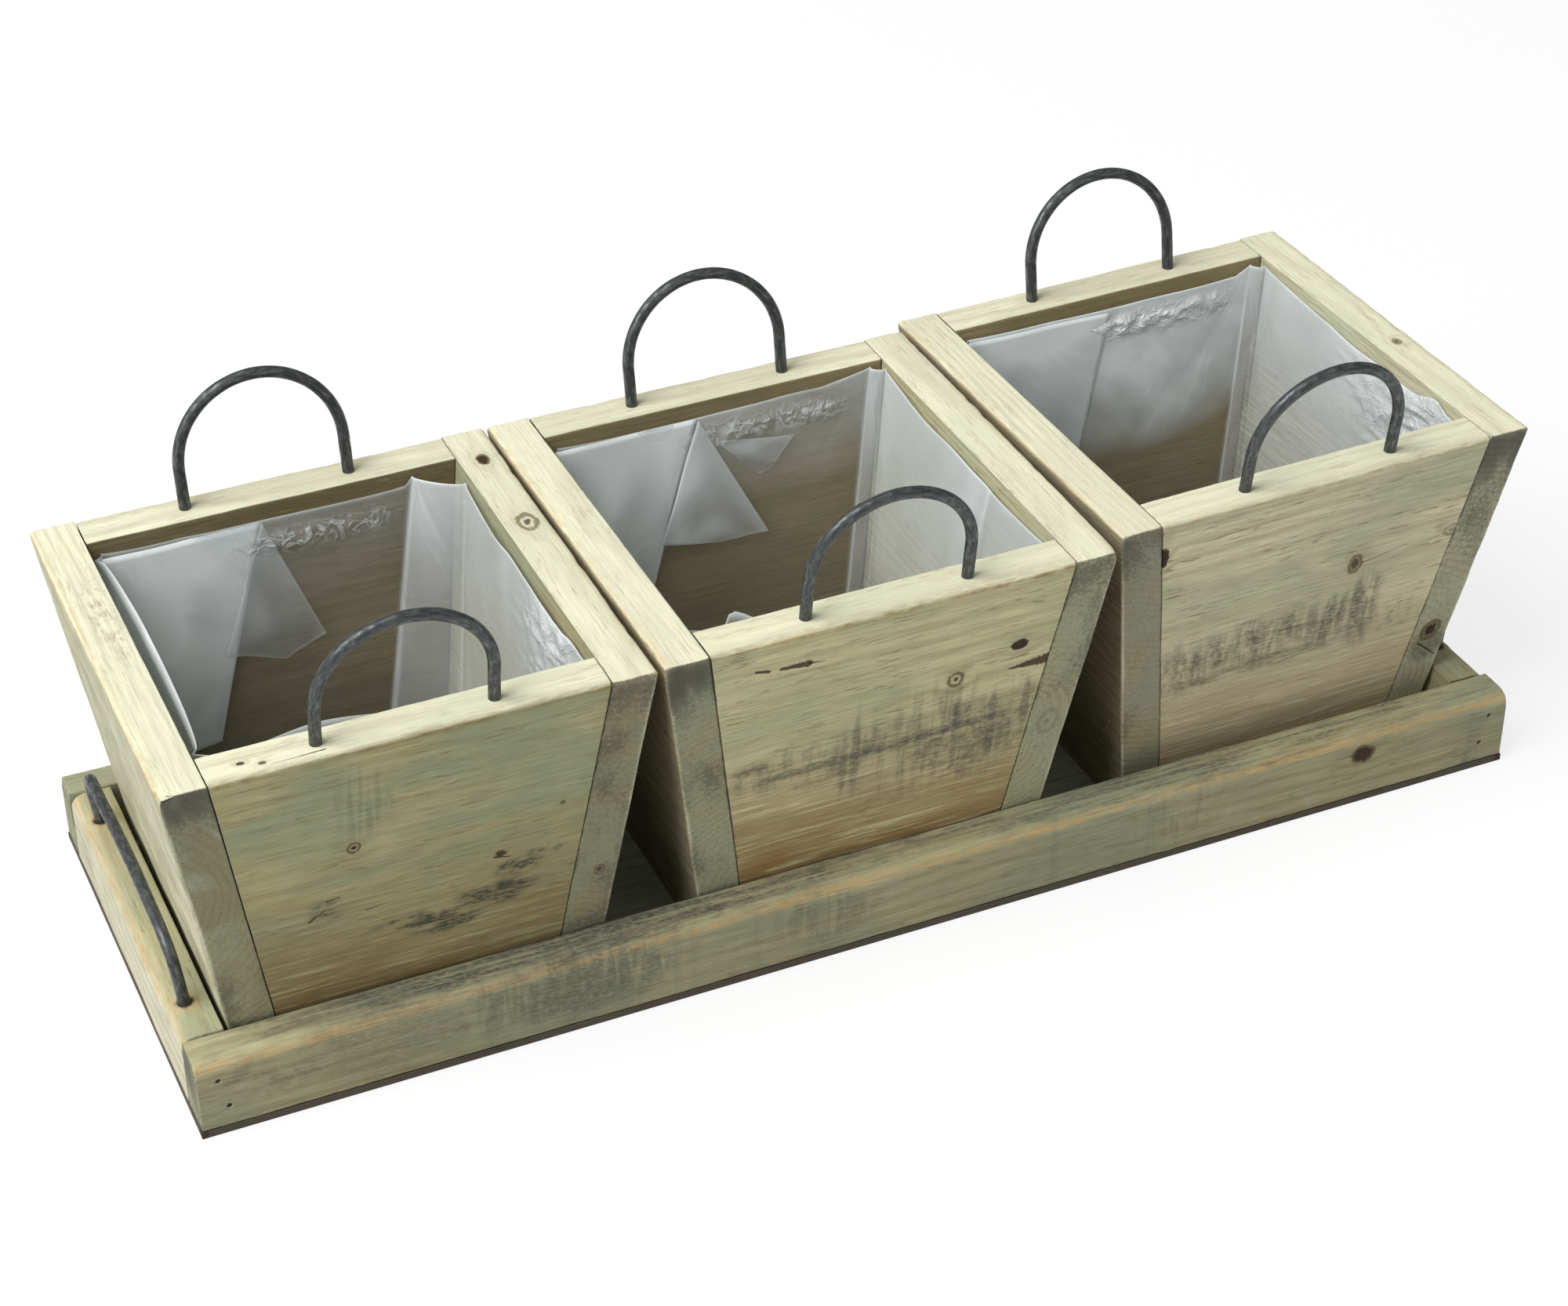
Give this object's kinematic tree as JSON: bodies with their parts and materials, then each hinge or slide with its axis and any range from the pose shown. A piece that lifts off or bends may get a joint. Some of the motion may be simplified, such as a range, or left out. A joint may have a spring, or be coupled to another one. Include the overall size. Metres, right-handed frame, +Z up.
{
  "type": "indoor herb planter",
  "caption": "Tapered wooden pots with wire handles and film liners, side by side in a low wooden tray with a wire handle at each end, for herbs on a windowsill.",
  "frame": {"origin": "middle of the tray's underside, on the surface that the planter stands on", "axes": "+X along the tray towards the right pot, +Y from the front to the back, +Z up"},
  "size_m": [0.4, 0.1405, 0.1468],
  "materials": {
    "pot_wood": "bare weathered softwood, worn pale along the edges",
    "tray_wood": "bare weathered softwood, stained grey and orange along the edges",
    "panel_wood": "bare thin board, dark",
    "wire": "dark annealed wire, lightly scuffed",
    "nail_steel": "dull steel",
    "film": "clear thin film, creased"
  },
  "bodies": {
    "tray": {"tray_front_rail": "tray_wood", "tray_back_rail": "tray_wood", "tray_left_rail": "tray_wood", "tray_right_rail": "tray_wood", "tray_base_panel": "panel_wood", "tray_rail_nails": "nail_steel", "tray_panel_tacks": "nail_steel", "tray_left_handle": "wire", "tray_right_handle": "wire"},
    "left_pot": {"left_pot_front_board": "pot_wood", "left_pot_back_board": "pot_wood", "left_pot_left_board": "pot_wood", "left_pot_right_board": "pot_wood", "left_pot_floor_board": "pot_wood", "left_pot_nails": "nail_steel", "left_pot_front_handle": "wire", "left_pot_back_handle": "wire"},
    "left_liner": {"left_pot_liner": "film"},
    "middle_pot": {"middle_pot_front_board": "pot_wood", "middle_pot_back_board": "pot_wood", "middle_pot_left_board": "pot_wood", "middle_pot_right_board": "pot_wood", "middle_pot_floor_board": "pot_wood", "middle_pot_nails": "nail_steel", "middle_pot_front_handle": "wire", "middle_pot_back_handle": "wire"},
    "middle_liner": {"middle_pot_liner": "film"},
    "right_pot": {"right_pot_front_board": "pot_wood", "right_pot_back_board": "pot_wood", "right_pot_left_board": "pot_wood", "right_pot_right_board": "pot_wood", "right_pot_floor_board": "pot_wood", "right_pot_nails": "nail_steel", "right_pot_front_handle": "wire", "right_pot_back_handle": "wire"},
    "right_liner": {"right_pot_liner": "film"}
  },
  "joints": [
    {"name": "left_pot_lift", "type": "slide", "parent": "tray", "child": "left_pot", "axis": [0, 0, 1], "range_m": [0, 0.15]},
    {"name": "left_liner_lift", "type": "slide", "parent": "left_pot", "child": "left_liner", "axis": [0, 0, 1], "range_m": [0, 0.14]},
    {"name": "middle_pot_lift", "type": "slide", "parent": "tray", "child": "middle_pot", "axis": [0, 0, 1], "range_m": [0, 0.15]},
    {"name": "middle_liner_lift", "type": "slide", "parent": "middle_pot", "child": "middle_liner", "axis": [0, 0, 1], "range_m": [0, 0.14]},
    {"name": "right_pot_lift", "type": "slide", "parent": "tray", "child": "right_pot", "axis": [0, 0, 1], "range_m": [0, 0.15]},
    {"name": "right_liner_lift", "type": "slide", "parent": "right_pot", "child": "right_liner", "axis": [0, 0, 1], "range_m": [0, 0.14]}
  ]
}
